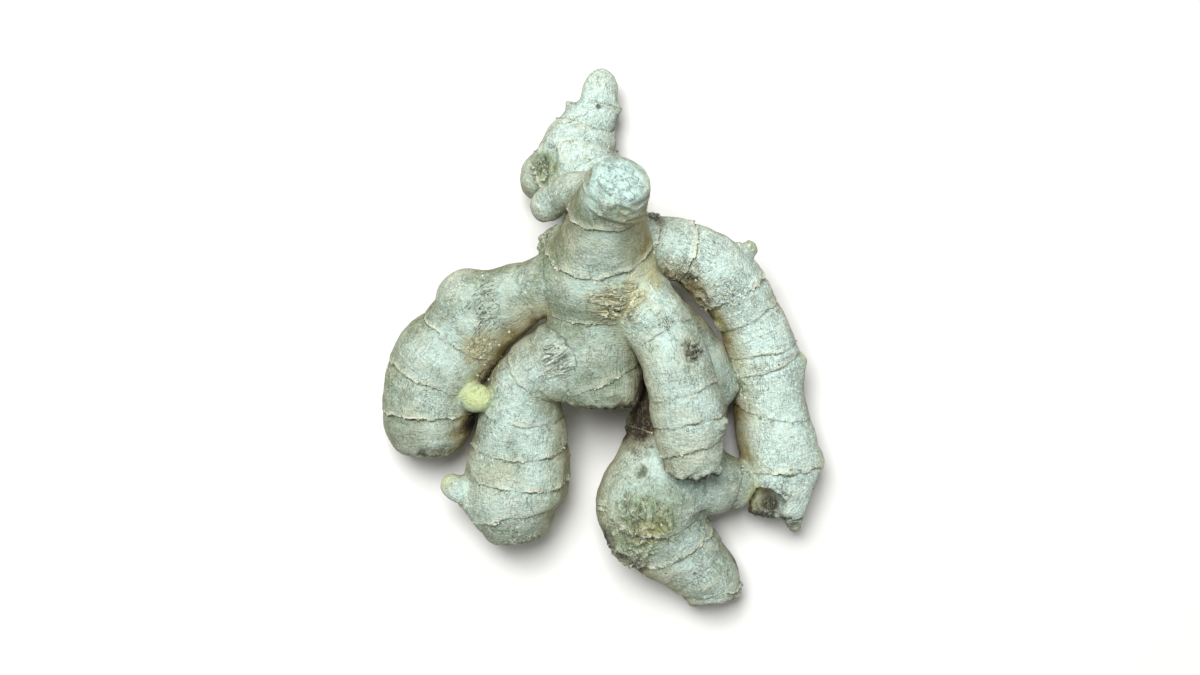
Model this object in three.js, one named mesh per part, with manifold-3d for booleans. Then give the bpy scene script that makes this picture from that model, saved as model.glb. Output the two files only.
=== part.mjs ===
// Ginger rhizome: one fresh "hand" of ginger root, lying on its flatter side.
// A short mother piece stands up out of the middle and ends in the round scar where its stem
// broke away. Four plump fingers and a tapered one grow from it, arch out and down, and touch
// the table near their tips, and small side buds stand on them. It grew as one solid piece.
// Millimetres, +Z up. X runs across the hand and +Y points to the tapered finger.
// The origin is under the middle of the hand, on the table.
import * as THREE from 'three';
import { mergeVertices } from 'three/addons/utils/BufferGeometryUtils.js';
import Module from 'manifold-3d';

const wasm = await Module();
wasm.setup();

// Driving dimensions.
const fingerSides = 18; // flats round a finger
const budSides = 12; // flats round a side bud
const rowGap = 7; // longest stretch of a finger with no row of points
const ringHalf = 0.7; // half the length over which the skin steps down at a leaf ring
const ringRise = 0.35; // how far the skin stands out on the root side of a ring
const ringDip = 0.35; // and how far it sits in on the tip side
const tableTrim = 200; // side of the block that flattens the undersides where they rest

// The limbs. Each path point is [x, y, z, radius], from the root end to the tip. A cap is how
// far an end takes to round off, and rings are where the leaf rings sit along the middle line.
const limbs = {
  mother: {
    path: [
      [7, 48.5, 68, 8], [4, 43.5, 62, 9], [1.5, 37.5, 53, 11], [0, 29, 45, 13.5],
      [-0.5, 19, 38, 16], [-1, 8.5, 33, 14.5], [-1.5, -4, 30, 13.5], [-0.5, -15, 27.5, 13],
      [-0.5, -20.5, 26, 11.5],
    ],
    rootCap: 2.5, tipCap: 3.5, rings: [14, 32, 52, 76],
  },
  taperedFinger: {
    path: [
      [0, 32, 30, 10], [-3.5, 46.5, 17.5, 12], [-8, 57, 13, 13.5], [-6, 65.5, 11, 10.5],
      [-2.5, 73.5, 10.5, 7], [-1, 80, 11, 5.5], [-0.5, 87, 12, 4.5],
    ],
    rootCap: 5, tipCap: 5, rings: [24, 34, 43, 52],
  },
  leftFinger: {
    path: [
      [-1, 17.5, 37, 8], [-18, 16, 34, 8.5], [-32.5, 10.5, 29, 11], [-41.5, 3, 24, 13],
      [-50, -6.5, 19.5, 16], [-54.5, -16.5, 16.5, 15.5], [-55.5, -26, 14, 15],
      [-53, -38, 12, 11],
    ],
    rootCap: 6, tipCap: 7, rings: [22, 33, 50, 66, 77],
  },
  innerFinger: {
    path: [
      [2, 0.5, 34, 7.5], [-10.5, -5, 32, 10], [-22, -12, 27, 10.8], [-26, -21.5, 22, 13],
      [-26.5, -33, 18, 15], [-27.5, -44, 16, 16.5], [-28.5, -53, 14.5, 15],
      [-26, -66.5, 11, 8.5],
    ],
    rootCap: 6, tipCap: 6, rings: [17, 30, 41, 54, 66, 75],
  },
  frontFinger: {
    path: [
      [6, 19, 38, 7.5], [14.5, 7.5, 42, 10], [21, -4, 43, 10], [24, -13, 42, 10.5],
      [26, -22.5, 40, 11], [27, -29.5, 38, 10.5], [28, -41.5, 34, 8.5],
    ],
    rootCap: 6, tipCap: 2, rings: [20, 41, 51, 59],
  },
  lowerFinger: {
    path: [
      [8, 23.5, 30, 8], [16.5, 8.5, 25, 9], [25, -4.5, 21, 12], [24.5, -21.5, 18, 14.5],
      [23.5, -32.5, 17, 15], [19, -45, 17, 16.5], [16, -54.5, 17.5, 18], [20, -63, 15.5, 15],
      [27.5, -70.5, 13, 12], [33.5, -77.5, 11, 10], [35.5, -85, 9, 7.5],
    ],
    rootCap: 6, tipCap: 1.5, rings: [60, 76, 90, 101, 112],
  },
  rightFinger: {
    path: [
      [2.5, 34.5, 38, 7], [16, 29.5, 34, 8.5], [27, 26.5, 30, 9.5], [37.5, 19.5, 25, 11],
      [46.5, 6.5, 20, 10], [52.5, -9, 16, 11], [54, -23.5, 13, 11.5], [56.5, -35, 12, 12.5],
      [58, -44, 11.5, 12], [56.5, -58, 11, 8.5],
    ],
    rootCap: 5, tipCap: 1.5, rings: [13, 25, 46, 68, 88, 107],
  },
};

// Side buds, knobs and the lobes where a finger once forked, in the same terms.
const buds = {
  taperedKnob: {
    path: [[-6, 57.5, 16, 7.5], [-13.5, 54.5, 14, 9], [-19.5, 52.5, 13, 8.5], [-26, 53.5, 12, 6]],
    rootCap: 4, tipCap: 3.5, rings: [],
  },
  stubSpur: {
    path: [[0.5, 38, 47, 6.5], [-6, 44.5, 42, 6.5], [-13, 44, 35, 5.5], [-21, 38.5, 30, 4.5]],
    rootCap: 4, tipCap: 4.5, rings: [],
  },
  leftNub: {
    path: [[-4, 24, 38, 8], [-12, 28.5, 32, 7], [-18.5, 30.5, 28, 5.5]],
    rootCap: 4, tipCap: 4, rings: [],
  },
  leftShoulder: {
    path: [[-36, 7, 26, 6.5], [-40.5, 11.5, 28, 8], [-43.5, 16.5, 29, 8], [-44.5, 21.5, 30, 4.5]],
    rootCap: 4, tipCap: 5, rings: [],
  },
  roundBud: {
    path: [[-47, -20, 22, 4], [-43.5, -20, 25, 4], [-40, -20, 29, 4.5], [-35.5, -20, 33, 3.5]],
    rootCap: 3, tipCap: 4, rings: [],
  },
  innerBud: {
    path: [[-33, -54.5, 16, 8.5], [-41, -50.5, 17, 6], [-46.5, -48, 19, 4], [-51, -46, 20, 3]],
    rootCap: 3, tipCap: 3, rings: [],
  },
  lowerShoulder: {
    path: [[27.5, -7, 22, 9.5], [34.5, -13, 21, 7.5], [42.5, -18, 20, 4]],
    rootCap: 4, tipCap: 3, rings: [],
  },
  lowerBud: {
    path: [[24.5, -43, 18, 11], [34, -46, 17, 11], [41.5, -47.5, 15, 8.5], [47.5, -51, 13, 5.5]],
    rootCap: 5, tipCap: 3, rings: [],
  },
  rightBud: {
    path: [[36.5, 21.5, 25, 4.5], [42.5, 26, 26, 3.5], [48, 29.5, 27, 2.5]],
    rootCap: 3, tipCap: 1.5, rings: [],
  },
  rightNub: {
    path: [[55.5, -15.5, 15, 6.5], [60.5, -9, 16, 4], [64.5, -5, 17, 2]],
    rootCap: 3, tipCap: 2, rings: [],
  },
  rightHeel: {
    path: [[58.5, -36.5, 13, 8.5], [64.5, -40.5, 13, 5.5], [71, -41, 13, 2.5]],
    rootCap: 3, tipCap: 2, rings: [],
  },
  rightPoint: {
    path: [[59, -48.5, 12, 6.5], [61, -56, 11, 4], [63, -63, 9, 2.5]],
    rootCap: 3, tipCap: 2, rings: [],
  },
};

// The end of the right finger has dried back into a shallow hollow.
const hollow = { centre: [53, -55, 19], radius: 4.2, sides: 14 };

// Distances along a limb at which its outline has a row of points.
function rowPlaces(length, limb) {
  const places = [0, length];
  for (const angle of [30, 60, 90]) {
    const share = 1 - Math.cos(THREE.MathUtils.degToRad(angle));
    places.push(limb.rootCap * share, length - limb.tipCap * share);
  }
  for (const ring of limb.rings) places.push(ring - ringHalf, ring + ringHalf);
  places.sort((a, b) => a - b);
  const filled = [];
  for (let i = 0; i + 1 < places.length; i += 1) {
    const gap = places[i + 1] - places[i];
    const parts = Math.max(1, Math.ceil(gap / rowGap));
    for (let k = 0; k < parts; k += 1) filled.push(places[i] + (gap * k) / parts);
  }
  filled.push(length);
  return filled;
}

// How much an end cap narrows the limb at a given distance from that end.
function capShare(distance, cap) {
  if (distance >= cap) return 1;
  return Math.sqrt(Math.max(0, 1 - (1 - distance / cap) ** 2));
}

// The small step of the skin at each leaf ring, from proud on the root side to shy on the other.
function ringStep(distance, rings) {
  let step = 0;
  for (const ring of rings) {
    const along = (distance - ring) / ringHalf;
    if (along > -1.5 && along < 0) step += ringRise;
    if (along >= 0 && along < 1.5) step -= ringDip;
  }
  return step;
}

// A limb is turned as a straight spindle and then bent along its middle line.
function limbGeometry(limb, sides) {
  const middle = new THREE.CatmullRomCurve3(limb.path.map(([x, y, z]) => new THREE.Vector3(x, y, z)));
  middle.arcLengthDivisions = 400;
  const radii = new THREE.SplineCurve(limb.path.map((point, i) => new THREE.Vector2(i, point[3])));
  const length = middle.getLength();
  const rows = rowPlaces(length, limb);
  const profile = rows.map((distance, i) => {
    if (i === 0 || i === rows.length - 1) return new THREE.Vector2(0, distance);
    const radius = radii.getPoint(middle.getUtoTmapping(distance / length)).y;
    const ends = capShare(distance, limb.rootCap) * capShare(length - distance, limb.tipCap);
    return new THREE.Vector2(radius * ends + ringStep(distance, limb.rings), distance);
  });
  const geometry = new THREE.LatheGeometry(profile, sides);
  const frameCount = Math.round(length);
  const frames = middle.computeFrenetFrames(frameCount, false);
  const position = geometry.attributes.position;
  for (let i = 0; i < position.count; i += 1) {
    const along = THREE.MathUtils.clamp(position.getY(i) / length, 0, 1);
    const nearest = Math.round(along * frameCount);
    const place = middle.getPointAt(along);
    place.addScaledVector(frames.normals[nearest], position.getX(i));
    place.addScaledVector(frames.binormals[nearest], -position.getZ(i));
    position.setXYZ(i, place.x, place.y, place.z);
  }
  return geometry;
}

// A closed geometry as a solid that can be joined and cut.
function solidFrom(geometry) {
  geometry.deleteAttribute('normal');
  geometry.deleteAttribute('uv');
  const merged = mergeVertices(geometry, 1e-3);
  const mesh = new wasm.Mesh({
    numProp: 3,
    vertProperties: new Float32Array(merged.attributes.position.array),
    triVerts: new Uint32Array(merged.index.array),
  });
  return new wasm.Manifold(mesh);
}

function geometryFrom(solid) {
  const { vertProperties, triVerts } = solid.getMesh();
  const geometry = new THREE.BufferGeometry();
  geometry.setAttribute('position', new THREE.BufferAttribute(new Float32Array(vertProperties), 3));
  geometry.setIndex(new THREE.BufferAttribute(new Uint32Array(triVerts), 1));
  geometry.computeVertexNormals();
  return geometry;
}

function rhizomeSolid() {
  const pieces = [
    ...Object.values(limbs).map((limb) => solidFrom(limbGeometry(limb, fingerSides))),
    ...Object.values(buds).map((bud) => solidFrom(limbGeometry(bud, budSides))),
  ];
  const joined = pieces.reduce((whole, piece) => whole.add(piece));
  const ball = new THREE.SphereGeometry(hollow.radius, hollow.sides, hollow.sides - 4);
  ball.translate(...hollow.centre);
  const underTable = new THREE.BoxGeometry(tableTrim, tableTrim, tableTrim);
  underTable.translate(0, 0, -tableTrim / 2);
  return joined.subtract(solidFrom(ball)).subtract(solidFrom(underTable));
}

// The hand is moved sideways so that the origin is under the middle of its outer box.
function centred(geometry) {
  geometry.computeBoundingBox();
  const middle = geometry.boundingBox.getCenter(new THREE.Vector3());
  geometry.translate(-middle.x, -middle.y, -geometry.boundingBox.min.z);
  return geometry;
}

const skin = new THREE.MeshStandardMaterial({ color: 0xb9c6ae, roughness: 0.85, metalness: 0 });

const rhizome = new THREE.Mesh(centred(geometryFrom(rhizomeSolid())), skin);
rhizome.name = 'ginger_rhizome';

const ginger = new THREE.Group();
ginger.add(rhizome);

export default ginger;
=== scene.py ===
import functools
import math
import bpy
import numpy as np
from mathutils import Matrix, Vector
from mathutils.bvhtree import BVHTree


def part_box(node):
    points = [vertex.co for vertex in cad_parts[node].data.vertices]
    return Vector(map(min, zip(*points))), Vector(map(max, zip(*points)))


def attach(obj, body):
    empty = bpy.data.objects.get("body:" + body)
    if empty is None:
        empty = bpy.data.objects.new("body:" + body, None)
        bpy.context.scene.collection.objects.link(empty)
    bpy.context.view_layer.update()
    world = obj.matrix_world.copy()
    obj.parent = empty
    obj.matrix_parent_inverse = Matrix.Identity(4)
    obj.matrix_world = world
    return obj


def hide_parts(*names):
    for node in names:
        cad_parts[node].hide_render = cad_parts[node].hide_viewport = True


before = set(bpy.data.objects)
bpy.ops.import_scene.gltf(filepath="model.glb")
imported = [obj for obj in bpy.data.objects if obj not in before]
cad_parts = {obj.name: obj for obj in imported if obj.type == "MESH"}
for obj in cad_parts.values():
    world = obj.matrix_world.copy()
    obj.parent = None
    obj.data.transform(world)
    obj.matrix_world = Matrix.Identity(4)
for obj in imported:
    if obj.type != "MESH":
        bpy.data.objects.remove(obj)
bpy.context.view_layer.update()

mm = 0.001  # the hand is laid out in millimetres, and Blender works in metres
rootNode = "ginger_rhizome"

# The limbs, as the frame has them. A point is (x, y, z, radius), from root end to tip, and ends
# are how far the root end and the tip take to round off. A leaf ring is (place along the
# middle line, extra reach on the side, extra reach on top, how strongly it stands out). Blend
# is how softly a limb leaves the one it grew from, tone how chalky its skin is, and soiled
# which side of it turns golden brown (-1 is its right as it runs away) and how much that shows.
limbs = {
    "mother": dict(
        tone=-1.8, soiled=(-1, 0.5),
        points=[(7, 48.5, 68, 8), (4, 43.5, 62, 9), (1.5, 37.5, 53, 11), (0, 29, 45, 13.5),
                (-0.5, 19, 38, 16), (-1, 8.5, 33, 14.5), (-1.5, -4, 30, 13.5),
                (-0.5, -15, 27.5, 13), (-0.5, -20.5, 26, 11.5)],
        ends=(2.5, 3.5),
        rings=[(18.5, 4, -3, 1), (33.5, 2.5, 1, 1.2), (51, 2, 3.5, 0.8), (76, 4, 0, 0.6)]),
    "taperedFinger": dict(
        grownFrom="mother", blend=6, tone=1.4,
        points=[(0, 32, 30, 10), (-3.5, 46.5, 17.5, 12), (-8, 57, 13, 13.5),
                (-6, 65.5, 11, 10.5), (-2.5, 73.5, 10.5, 7), (-1, 80, 11, 5.5),
                (-0.5, 87, 12, 4.5)],
        ends=(5, 5),
        rings=[(24, 0, 0, 0.5), (36.5, 2.5, -2.5, 0.7), (45, 1.6, -3, 0.8), (52.3, 0.4, 0, 0.9)]),
    "leftFinger": dict(
        grownFrom="mother", blend=12, tone=-0.75, soiled=(-1, 1.0),
        points=[(-1, 17.5, 37, 8), (-18, 16, 34, 8.5), (-32.5, 10.5, 29, 11),
                (-41.5, 3, 24, 13), (-50, -6.5, 19.5, 16), (-54.5, -16.5, 16.5, 15.5),
                (-55.5, -26, 14, 15), (-53, -38, 12, 11)],
        ends=(6, 7),
        rings=[(22, 0, 0, 0.3), (34, 1, 0, 0.25), (49.5, 3, 0, 0.65), (66, 1, 0, 0.75),
               (76.5, 1.5, 0, 0.85)]),
    "innerFinger": dict(
        grownFrom="mother", blend=11, tone=-0.2, soiled=(-1, 0.35),
        points=[(2, 0.5, 34, 7.5), (-10.5, -5, 32, 10), (-22, -12, 27, 10.8),
                (-26, -21.5, 22, 13), (-26.5, -33, 18, 15), (-27.5, -44, 16, 16.5),
                (-28.5, -53, 14.5, 15), (-26, -66.5, 11, 8.5)],
        ends=(6, 6),
        rings=[(28, 0, 0, 0.4), (40.5, 0, 0, 0.7), (51.5, 1, 3, 1.1), (63, 1, 1.5, 1),
               (74.5, 1.5, -1.5, 0.9)]),
    "frontFinger": dict(
        grownFrom="mother", blend=9, tone=0.15, soiled=(1, 0.3),
        points=[(6, 19, 38, 7.5), (14.5, 7.5, 42, 10), (21, -4, 43, 10), (24, -13, 42, 10.5),
                (26, -22.5, 40, 11), (27, -29.5, 38, 10.5), (28, -41.5, 34, 8.5)],
        ends=(6, 2),
        rings=[(22, 0, 0, 0.3), (41, 0.5, -1, 0.35), (50.5, 0.7, -1.8, 1), (58, 2.5, -0.7, 1)]),
    "lowerFinger": dict(
        grownFrom="mother", blend=5, tone=-0.05, soiled=(1, 0.3),
        points=[(8, 23.5, 30, 8), (16.5, 8.5, 25, 9), (25, -4.5, 21, 12), (24.5, -21.5, 18, 14.5),
                (23.5, -32.5, 17, 15), (19, -45, 17, 16.5), (16, -54.5, 17.5, 18),
                (20, -63, 15.5, 15), (27.5, -70.5, 13, 12), (33.5, -77.5, 11, 10),
                (35.5, -85, 9, 7.5)],
        ends=(6, 1.5),
        rings=[(60, 0, 0, 0.5), (90, -5, 0, 0.4), (99.5, -5, 1.5, 1.1), (110, 0, 0, 0.2),
               (119.5, -1, 0, 0.9)]),
    "rightFinger": dict(
        grownFrom="mother", blend=8, tone=1.25, soiled=(1, 0.95),
        points=[(2.5, 34.5, 38, 7), (16, 29.5, 34, 8.5), (27, 26.5, 30, 9.5),
                (37.5, 19.5, 25, 11), (46.5, 6.5, 20, 10), (52.5, -9, 16, 11),
                (54, -23.5, 13, 11.5), (56.5, -35, 12, 12.5), (58, -44, 11.5, 12),
                (56.5, -58, 11, 8.5)],
        ends=(5, 1.5),
        rings=[(13, 0, 0, 0.7), (25, 0, 0, 1), (46, -1.5, 0, 1), (56, 0, 0, 0.4),
               (68.3, -1.2, 0, 0.9), (73.3, 0.8, 0, 0.5), (89.5, -4.5, 1, 0.4),
               (107, -1, 2, 1)]),
    "taperedKnob": dict(
        grownFrom="taperedFinger", blend=3, tone=-0.1,
        points=[(-6, 57.5, 16, 7.5), (-13.5, 54.5, 14, 9), (-19.5, 52.5, 13, 8.5),
                (-26, 53.5, 12, 6)],
        ends=(4, 3.5), rings=[(15, 0, 0, 0.6)]),
    "stubSpur": dict(
        grownFrom="mother", blend=5, tone=0.1,
        points=[(0.5, 38, 47, 6.5), (-6, 44.5, 42, 6.5), (-13, 44, 35, 5.5),
                (-21, 38.5, 30, 4.5)],
        ends=(4, 4.5), rings=[(21, 0, 0, 0.5)]),
    "leftNub": dict(
        grownFrom="mother", blend=5, tone=-0.3,
        points=[(-4, 24, 38, 8), (-12, 28.5, 32, 7), (-18.5, 30.5, 28, 5.5)],
        ends=(4, 4), rings=[(14, 0, 0, 0.4)]),
    "leftShoulder": dict(
        grownFrom="leftFinger", blend=9, tone=0.1,
        points=[(-36, 7, 26, 6.5), (-40.5, 11.5, 28, 8), (-43.5, 16.5, 29, 8),
                (-44.5, 21.5, 30, 4.5)],
        ends=(4, 5), rings=[]),
    "roundBud": dict(
        grownFrom="leftFinger", blend=1, tone=0.6,
        points=[(-47, -19, 22, 4), (-43.5, -18.8, 25, 4), (-40, -18.6, 29, 4.5),
                (-35.5, -18.5, 33, 3.5)],
        ends=(3, 4), rings=[]),
    "innerBud": dict(
        grownFrom="innerFinger", blend=4, tone=0.3,
        points=[(-33, -54.5, 16, 8.5), (-41, -50.5, 17, 6), (-46.5, -48, 19, 4),
                (-51, -46, 20, 3)],
        ends=(3, 3), rings=[(13, 0, 0, 0.6)]),
    "lowerShoulder": dict(
        grownFrom="lowerFinger", blend=6, tone=0.1,
        points=[(27.5, -7, 22, 9.5), (34.5, -13, 21, 7.5), (42.5, -18, 20, 4)],
        ends=(4, 3), rings=[]),
    "lowerBud": dict(
        grownFrom="lowerFinger", blend=4, tone=0.0,
        points=[(24.5, -43, 18, 11), (34, -46, 17, 11), (41.5, -47.5, 15, 8.5),
                (47.5, -51, 13, 5.5)],
        ends=(5, 3), rings=[(17, 0, 0, 0.5)]),
    "rightBud": dict(
        grownFrom="rightFinger", blend=2, tone=0.3,
        points=[(36.5, 21.5, 25, 4.5), (42.5, 26, 26, 3.5), (48, 29.5, 27, 2.5)],
        ends=(3, 1.5), rings=[(10, 0, 0, 0.9)]),
    "rightNub": dict(
        grownFrom="rightFinger", blend=4, tone=0.5,
        points=[(55.5, -15.5, 15, 6.5), (60.5, -9, 16, 4), (64.5, -5, 17, 2)],
        ends=(3, 2), rings=[(11, 0, 0, 0.6)]),
    "rightHeel": dict(
        grownFrom="rightFinger", blend=5, tone=0.5,
        points=[(58.5, -36.5, 13, 8.5), (64.5, -40.5, 13, 5.5), (71, -41, 13, 2.5)],
        ends=(3, 2), rings=[(12, 0, 0, 0.5)]),
    "rightPoint": dict(
        grownFrom="rightFinger", blend=4, tone=0.2,
        points=[(59, -48.5, 12, 6.5), (61, -56, 11, 4), (63, -63, 9, 2.5)],
        ends=(3, 2), rings=[(13, 0, 0, 0.4)]),
}
limbNames = list(limbs)

# What happened to the skin in places: (kind, place, reach, how deep or high in millimetres).
marks = [
    ("folds", (2, 10, 51), 8, 0.9),  # crumpled band below the mother piece's second ring
    ("folds", (8, 11, 50), 8, 0.9),
    ("pleats", (-14, -7, 42), 8.5, 0.9),  # where the inner finger leaves the mother piece
    ("net", (-38, -3, 35), 6.5, 0.4),  # leathery patch on the left finger
    ("net", (-37, -10, 28), 6, 0.4),
    ("slits", (-37, 11, 39), 9, 0.4),
    ("slits", (-36, 4, 38), 7, 0.35),
    ("scab", (27, -4, 51), 5, 1.1),  # the dark healed cut on the front finger
    ("crumple", (13, -58, 33), 12, 1.35),  # the mouldy patch on the lower finger
    ("slits", (10, -37, 30), 8, 0.4), ("slits", (27, 4, 36), 9, 0.5),
    ("slits", (18, 2, 53), 6, 0.35),
    ("pit", (16, -60, 34), 2.4, 1.3),
    ("pit", (12, -42, 31), 2.6, 1.1),
    ("pit", (20, -47, 33), 0.9, 0.9),
    ("pit", (20, -54, 35), 0.8, 0.7),
    ("pit", (29, -75, 24), 0.8, 0.7),
    ("crumple", (8, -68, 25), 10, 1.2),
    ("scab", (15, 37, 38), 6, 0.9),  # scars where the right finger leaves
    ("crumple", (24, 20, 37), 8, 0.8),
    ("crumple", (32, 12, 31), 7, 0.7),
    ("net", (40, 13, 34), 7, 0.35),
    ("scab", (-18, 30, 35), 6, 0.8),
    ("scab", (-19, 53, 20), 6, 0.5),
    ("pit", (-57, -37, 22), 2.2, 1.8),  # notch in the left finger's tip
    ("scab", (-52, -38, 20), 8, 0.45),
    ("scab", (-26, -66, 20), 8, 0.45),
    ("scab", (43, -16, 22), 4, 0.6), ("scab", (57, -49, 22), 4.5, 0.6),
    ("scab", (52, -49, 22), 4, 0.7),
    ("bump", (35, -26.5, 44), 3.2, 1.4),  # a sleeping bud on the front finger
    ("bump", (36.5, -25.5, 43.5), 1.8, 1.0),
    ("bump", (29, -83.5, 9), 4, 1.6), ("bump", (42.5, -82, 9), 4, 1.8),
    ("bump", (9, -28, 16), 4, 1.8),  # small swellings on the outlines of two fingers
    ("bump", (-9.5, 73.5, 12), 2.8, 2.2), ("bump", (4.5, 74, 12), 2.4, 1.3),
    ("bump", (-15, 57, 21), 3, 0.9),
    ("pit", (-1.4, 74, 17.5), 0.9, 0.9),
    ("bump", (37, 4, 24), 3, 1.2),
    ("bump", (14, 8, 52), 6, 0.6),
    ("bump", (40, -47, 25), 4, 0.5),
]

# Where an end or a side is broken or pressed flat: (place, the way it faces, reach).
cuts = [
    ((35.5, -86.3, 9), (0.03, -1, 0.15), 14),  # the lower finger's end
    ((66.5, -51.5, 12), (0.93, -0.36, 0.1), 13),  # the right finger, outside its hollow
    ((-55, -37.6, 12), (0.05, -1, 0.1), 10),  # the left finger's end
    ((-25, -66, 11), (0.1, -1, 0.2), 12),  # the inner finger's end
    ((-18, 56, 20.5), (-0.35, 0.1, 0.93), 7),  # the green side of the knob
]

# Stains and growth, by the skin material's tints, with some painted highlights and painted
# shade among them: (place, reach, strength).
stains = {
    "earth": [
        ((-38, -3, 35), 9, 0.75), ((-37, -10, 28), 8, 1), ((-30, 1, 27), 10, 0.7),
        ((-22, 8, 29), 9, 0.4), ((-45, -29, 22), 7, 1), ((-43, -32, 14), 9, 1),
        ((-50, -37, 18), 9, 0.5), ((12, 28, 49), 5, 0.9), ((24, 18, 33), 11, 0.9),
        ((32, 8, 26), 10, 0.8), ((36, -2, 20), 8, 0.6), ((45, -34, 14), 10, 0.8),
        # (14, -25, 27) and (9, -34, 15) darken the lower finger's neck below the mother: stain and
        # painted shade.
        ((-26, -66, 17), 9, 0.6), ((14, -25, 27), 14, 1.4), ((9, -34, 15), 7, 0.8),
        ((11, 0, 40), 6, 0.7), ((16, -60, 34), 4.5, 1.2), ((14, -73, 20), 9, 0.6),
        ((-12, -17, 20), 9, 0.6), ((25, -3, 51), 7, 0.6), ((-24, 49, 16), 5, 0.6),
        ((15, 37, 38), 6, 0.6), ((36, -85, 10), 8, 0.3), ((69, -40, 16), 5, 0.4),
        ((-36, -14, 22), 7, 1),
    ],
    "moss": [
        ((-18, 54, 21), 8.5, 1.2), ((-24, 48, 16), 5, 0.6), ((14, -58, 34), 15, 1.2),
        ((8, -61, 30), 10, 0.9), ((19, -56, 34), 5, 0.5), ((12, -42, 31), 4, 0.6),
        ((43, -16, 22), 4, 0.8), ((-18, 30, 35), 6, 0.7), ((37, 4, 24), 5, 0.5),
        ((27, -4, 51), 3.5, 0.4),
    ],
    "peat": [
        # The first three darken the lower finger's neck below the mother: stain and painted shade.
        ((17, -17, 30), 13, 1.2), ((12, -27, 25), 11, 1.1), ((9, -31, 19), 7, 0.9),
        # (53.5, -53.5, 15.5) darkens the right finger's hollow: dried skin and painted shade.
        ((53.5, -53.5, 15.5), 5.5, 0.8), ((-42, -27, 20), 6.5, 0.9), ((-38, -11, 25), 6, 0.8),
        ((42, -73, 12), 3.5, 0.7), ((-1.4, 74, 17.5), 1.3, 0.9),
    ],
    "straw": [
        ((2, 10, 51), 9, 0.8), ((9, 12, 50), 9, 0.9), ((14, 18, 47), 7, 0.8), ((16, 9, 48), 5, 0.5),
        ((25, 8, 37), 9, 0.6), ((-38, -3, 35), 8, 0.8), ((45, -34, 16), 7, 0.6),
        ((14, -60, 33), 7, 0.5), ((27, -37, 47), 11, 0.3),
    ],
    "fresh": [
        ((-40, -18.6, 33), 7.5, 1.5), ((47, -50, 17), 6, 1), ((-51, -46, 21), 5.5, 0.6),
        ((64, -5, 17), 4, 0.7), ((71, -41, 13), 5, 0.6), ((48, 29.5, 27), 4, 0.5),
        ((15, -3, 52), 4, 0.2),
    ],
    "bare": [
        # The first five are painted highlights on two finger roots; the rest are pale scar skin.
        ((13, 7, 52), 5, 0.4), ((21, -1, 53), 6, 0.35), ((31, -4, 48), 4, 0.3),
        ((24, 31, 42), 7, 0.4), ((34, 22, 37), 5, 0.3), ((5.5, 47, 70), 13.5, 1.4),
        ((11, 40, 67), 6, 0.5), ((-2, 42, 66), 9, 0.5), ((56, -47, 22), 5.5, 0.6),
        ((51.5, -47, 22), 4.5, 0.58),
    ],
    "soot": [
        ((-20.5, 40, 33), 3, 0.8), ((-1.4, 74, 17.5), 1.0, 1.3), ((36.5, -27.5, 43.5), 2.2, 0.7),
        # (53.5, -53, 16.5) darkens the right finger's hollow too: dried skin and painted shade.
        ((4, -63, 22), 9, 1.1), ((12, -71, 20), 8, 1.0), ((53.5, -53, 16.5), 5, 0.7),
        ((27, -4, 51), 4.5, 1.1), ((4, -67, 24), 6, 0.7), ((16, 37, 39), 4, 0.8),
        ((26, 19, 35), 6, 0.6), ((20, -47, 33), 1.1, 1.2), ((20, -54, 35), 0.9, 1.1),
        ((29, -75, 24), 0.9, 1.1), ((-1, -20, 36), 7, 0.4), ((-57, -36, 25), 2.5, 0.8),
        ((-19, 56, 20), 4, 0.5), ((12, -42, 31), 2.2, 0.7), ((39, -46, 26), 4, 0.3),
    ],
}

# Ends that are torn: (how far back, how rough in millimetres, whether the edge is charred).
tornEnds = dict(mother=(4.5, 1.1, True), frontFinger=(4.0, 1.3, True),
                lowerFinger=(1.6, 0.5, False), rightFinger=(4.0, 0.9, True))
# How thickly scraps of skin lie on each kind of mark that the material also draws.
flakiness = dict(folds=0.3, pleats=0.15, net=0.15, slits=0, crumple=0.07, scab=0.18)
farAway = 60.0  # in millimetres, more than any gap between two limbs
limbStep = 40.0  # how far apart in the noise two limbs' own places are kept

skin = dict(
    voxel=0.42,  # size of the cells in which the limbs are joined
    limbSides=64,
    faceLimit=196000,
    lumps=[(13, 0.55), (6, 0.3), (2.6, 0.12)],  # (width, height)
    leastBlend=1.6, blendRun=(3, 11),  # how softly limbs join, and where blend is full and gone
    bulge=0.45, bulgeFade=(0.2, 5.0),  # swelling between two rings, less where limbs meet
    ringEdge=(0.6, 2.2), ringFall=(0.5, 1.3),  # (height, reach) before a ring's edge and after it
    ringWaves=[(6.0, 0.8, 11), (1.7, 0.35, 5)],  # (width, height, seed)
    ringFray=(0.72, 1.15, 6.5),  # how much of an edge stands, how much that changes, in what width
    ringSpacing=12,  # where a limb's last ring has no neighbour
    stretch=0.1,  # height of the fine lines that run along a limb and round it
    cutShare=0.85,  # how much of what stands past a cut goes
    hollowAt=(53, -54, 20.5), hollowAim=(0.08, 0.35, -0.93), hollowReach=5.6, hollowDepth=5.5,
)


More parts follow.
